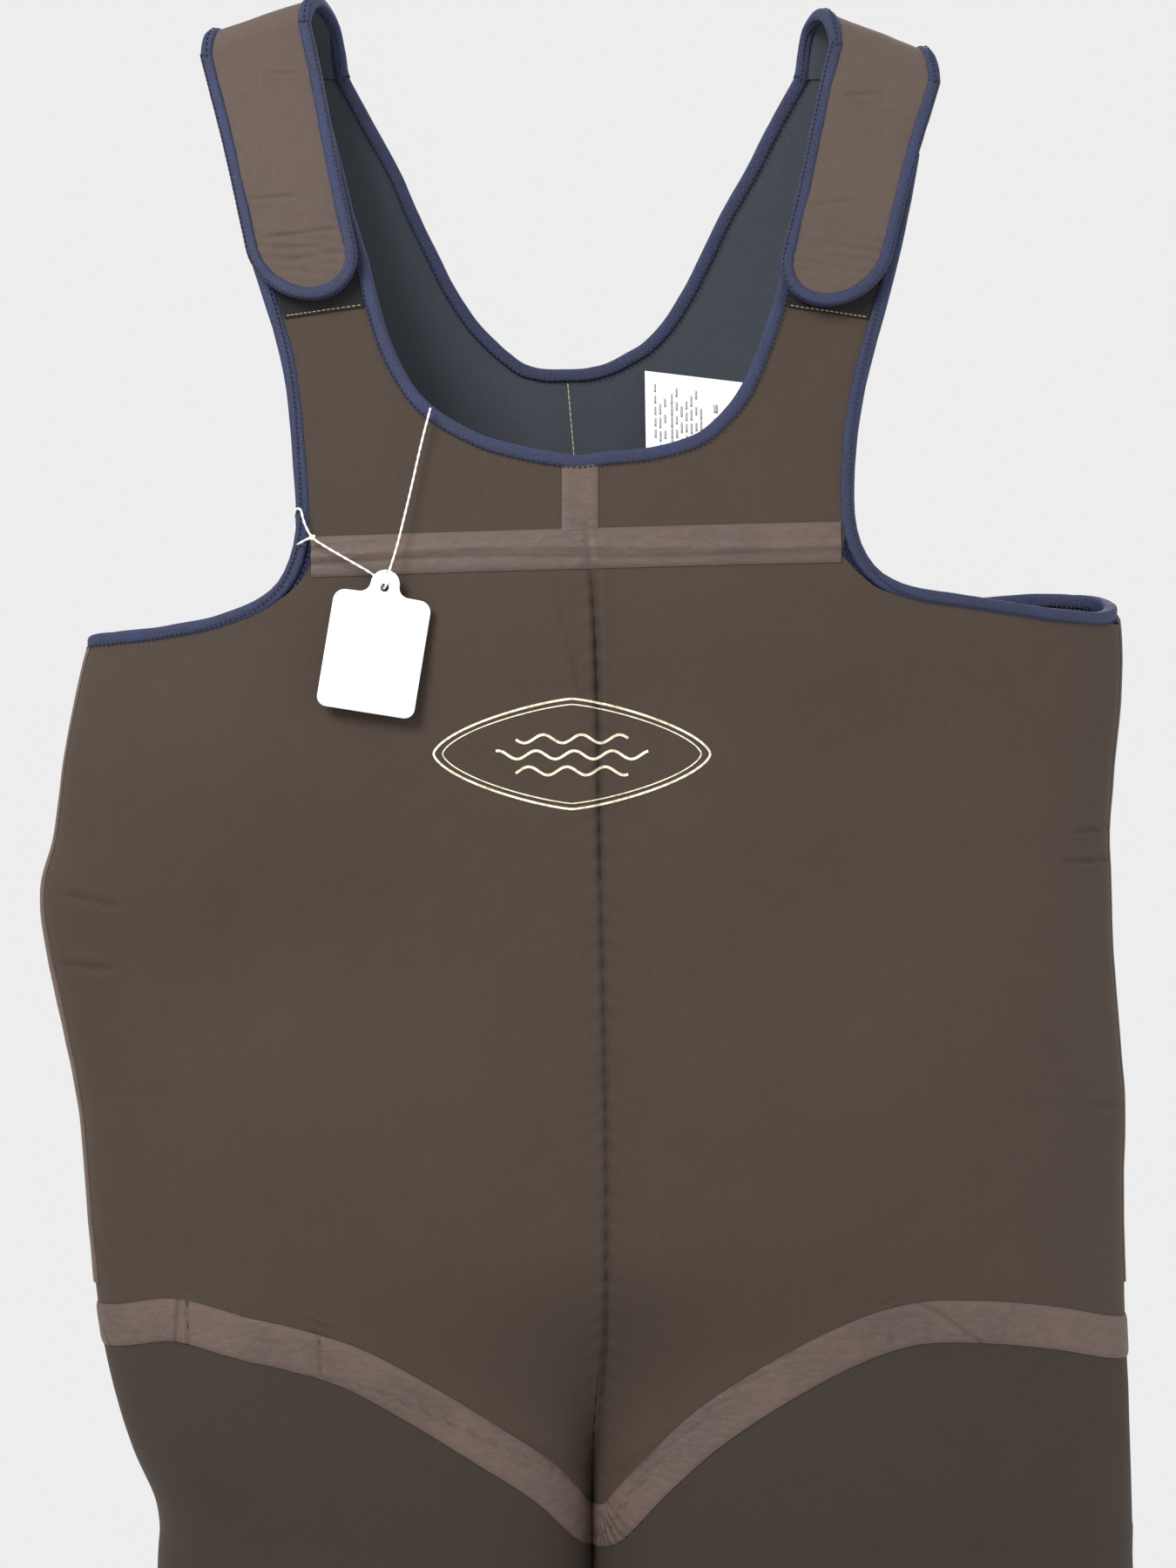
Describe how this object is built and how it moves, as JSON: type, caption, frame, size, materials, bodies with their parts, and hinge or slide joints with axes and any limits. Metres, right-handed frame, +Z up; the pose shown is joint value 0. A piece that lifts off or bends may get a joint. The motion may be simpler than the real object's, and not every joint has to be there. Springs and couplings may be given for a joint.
{
  "type": "chest waders",
  "caption": "Bib-and-brace chest waders in brown neoprene with taped seams, bound edges, hook-and-loop shoulder straps and stocking feet, hanging from a hanger",
  "frame": {"origin": "middle of the hanger arm that both shoulder straps lie over", "axes": "+Z up, the front of the bib faces -Y, the wearer's left is at +X"},
  "size_m": [0.5657, 0.2899, 1.6164],
  "materials": {
    "front_body_L": "brown knit-faced neoprene",
    "back_body_L": "brown knit-faced neoprene",
    "front_bib_L": "brown knit-faced neoprene",
    "back_yoke_L": "brown knit-faced neoprene",
    "hip_sleeve_L": "brown knit-faced neoprene",
    "hip_tape_front_L": "melted seam tape",
    "hip_tape_back_L": "melted seam tape",
    "side_tape_L": "melted seam tape",
    "yoke_tape_L": "melted seam tape",
    "loop_patch_L": "black hook and loop",
    "arm_binding_front_L": "blue folded edge binding",
    "arm_binding_back_L": "blue folded edge binding",
    "strap_L": "brown knit-faced neoprene",
    "front_body_R": "brown knit-faced neoprene",
    "back_body_R": "brown knit-faced neoprene",
    "front_bib_R": "brown knit-faced neoprene",
    "back_yoke_R": "brown knit-faced neoprene",
    "hip_sleeve_R": "brown knit-faced neoprene",
    "hip_tape_front_R": "melted seam tape",
    "hip_tape_back_R": "melted seam tape",
    "side_tape_R": "melted seam tape",
    "yoke_tape_R": "melted seam tape",
    "loop_patch_R": "black hook and loop",
    "arm_binding_front_R": "blue folded edge binding",
    "arm_binding_back_R": "blue folded edge binding",
    "strap_R": "brown knit-faced neoprene",
    "chest_tape": "melted seam tape",
    "centre_tape": "melted seam tape",
    "back_seam_tape": "melted seam tape",
    "neck_binding_front": "blue folded edge binding",
    "neck_binding_back": "blue folded edge binding",
    "care_label": "white card",
    "tag_string": "white cotton string",
    "swing_tag": "white card",
    "flap_L": "brown knit-faced neoprene",
    "hook_patch_L": "black hook and loop",
    "flap_binding_L": "blue folded edge binding",
    "thigh_L": "brown knit-faced neoprene",
    "thigh_tape_L": "melted seam tape",
    "knee_sleeve_L": "brown knit-faced neoprene",
    "knee_patch_L": "black hook and loop",
    "shin_L": "brown knit-faced neoprene",
    "shin_tape_L": "melted seam tape",
    "ankle_sleeve_L": "brown knit-faced neoprene",
    "foot_L": "brown knit-faced neoprene",
    "sole_patch_L": "textured neoprene pad",
    "flap_R": "brown knit-faced neoprene",
    "hook_patch_R": "black hook and loop",
    "flap_binding_R": "blue folded edge binding",
    "thigh_R": "brown knit-faced neoprene",
    "thigh_tape_R": "melted seam tape",
    "knee_sleeve_R": "brown knit-faced neoprene",
    "knee_patch_R": "black hook and loop",
    "shin_R": "brown knit-faced neoprene",
    "shin_tape_R": "melted seam tape",
    "ankle_sleeve_R": "brown knit-faced neoprene",
    "foot_R": "brown knit-faced neoprene",
    "sole_patch_R": "textured neoprene pad"
  },
  "bodies": {
    "garment": {"front_body_L": "front_body_L", "back_body_L": "back_body_L", "front_bib_L": "front_bib_L", "back_yoke_L": "back_yoke_L", "hip_sleeve_L": "hip_sleeve_L", "hip_tape_front_L": "hip_tape_front_L", "hip_tape_back_L": "hip_tape_back_L", "side_tape_L": "side_tape_L", "yoke_tape_L": "yoke_tape_L", "loop_patch_L": "loop_patch_L", "arm_binding_front_L": "arm_binding_front_L", "arm_binding_back_L": "arm_binding_back_L", "strap_L": "strap_L", "front_body_R": "front_body_R", "back_body_R": "back_body_R", "front_bib_R": "front_bib_R", "back_yoke_R": "back_yoke_R", "hip_sleeve_R": "hip_sleeve_R", "hip_tape_front_R": "hip_tape_front_R", "hip_tape_back_R": "hip_tape_back_R", "side_tape_R": "side_tape_R", "yoke_tape_R": "yoke_tape_R", "loop_patch_R": "loop_patch_R", "arm_binding_front_R": "arm_binding_front_R", "arm_binding_back_R": "arm_binding_back_R", "strap_R": "strap_R", "chest_tape": "chest_tape", "centre_tape": "centre_tape", "back_seam_tape": "back_seam_tape", "neck_binding_front": "neck_binding_front", "neck_binding_back": "neck_binding_back", "care_label": "care_label", "tag_string": "tag_string"},
    "ticket": {"swing_tag": "swing_tag"},
    "flap_end_L": {"flap_L": "flap_L", "hook_patch_L": "hook_patch_L", "flap_binding_L": "flap_binding_L"},
    "upper_leg_L": {"thigh_L": "thigh_L", "thigh_tape_L": "thigh_tape_L", "knee_sleeve_L": "knee_sleeve_L", "knee_patch_L": "knee_patch_L"},
    "lower_leg_L": {"shin_L": "shin_L", "shin_tape_L": "shin_tape_L", "ankle_sleeve_L": "ankle_sleeve_L"},
    "bootie_L": {"foot_L": "foot_L", "sole_patch_L": "sole_patch_L"},
    "flap_end_R": {"flap_R": "flap_R", "hook_patch_R": "hook_patch_R", "flap_binding_R": "flap_binding_R"},
    "upper_leg_R": {"thigh_R": "thigh_R", "thigh_tape_R": "thigh_tape_R", "knee_sleeve_R": "knee_sleeve_R", "knee_patch_R": "knee_patch_R"},
    "lower_leg_R": {"shin_R": "shin_R", "shin_tape_R": "shin_tape_R", "ankle_sleeve_R": "ankle_sleeve_R"},
    "bootie_R": {"foot_R": "foot_R", "sole_patch_R": "sole_patch_R"}
  },
  "joints": [
    {"name": "ticket_lift", "type": "hinge", "parent": "garment", "child": "ticket", "pos_m": [-0.0923, -0.0532, -0.2777], "axis": [-1, 0, 0], "range_deg": [0, 50], "deforming": ["tag_string"]},
    {"name": "flap_peel_L", "type": "hinge", "parent": "garment", "child": "flap_end_L", "pos_m": [-0.161, -0.0216, 0.005], "axis": [-1, 0, 0], "range_deg": [0, 150]},
    {"name": "hip_bend_L", "type": "hinge", "parent": "garment", "child": "upper_leg_L", "pos_m": [-0.108, 0, -0.757], "axis": [-1, 0, 0], "range_deg": [-10, 60], "stiffness_Nm_per_rad": 4, "deforming": ["hip_sleeve_L"]},
    {"name": "knee_bend_L", "type": "hinge", "parent": "upper_leg_L", "child": "lower_leg_L", "pos_m": [-0.108, 0, -1.11], "axis": [1, 0, 0], "range_deg": [0, 85], "stiffness_Nm_per_rad": 2, "deforming": ["knee_sleeve_L", "knee_patch_L"]},
    {"name": "ankle_bend_L", "type": "hinge", "parent": "lower_leg_L", "child": "bootie_L", "pos_m": [-0.106, 0, -1.43], "axis": [1, 0, 0], "range_deg": [-15, 35], "stiffness_Nm_per_rad": 1.5, "deforming": ["ankle_sleeve_L"]},
    {"name": "flap_peel_R", "type": "hinge", "parent": "garment", "child": "flap_end_R", "pos_m": [0.1605, -0.0239, -0.008], "axis": [-1, 0, 0], "range_deg": [0, 150]},
    {"name": "hip_bend_R", "type": "hinge", "parent": "garment", "child": "upper_leg_R", "pos_m": [0.15, 0, -0.757], "axis": [-1, 0, 0], "range_deg": [-10, 60], "stiffness_Nm_per_rad": 4, "deforming": ["hip_sleeve_R"]},
    {"name": "knee_bend_R", "type": "hinge", "parent": "upper_leg_R", "child": "lower_leg_R", "pos_m": [0.15, 0, -1.11], "axis": [1, 0, 0], "range_deg": [0, 85], "stiffness_Nm_per_rad": 2, "deforming": ["knee_sleeve_R", "knee_patch_R"]},
    {"name": "ankle_bend_R", "type": "hinge", "parent": "lower_leg_R", "child": "bootie_R", "pos_m": [0.148, 0, -1.43], "axis": [1, 0, 0], "range_deg": [-15, 35], "stiffness_Nm_per_rad": 1.5, "deforming": ["ankle_sleeve_R"]}
  ]
}
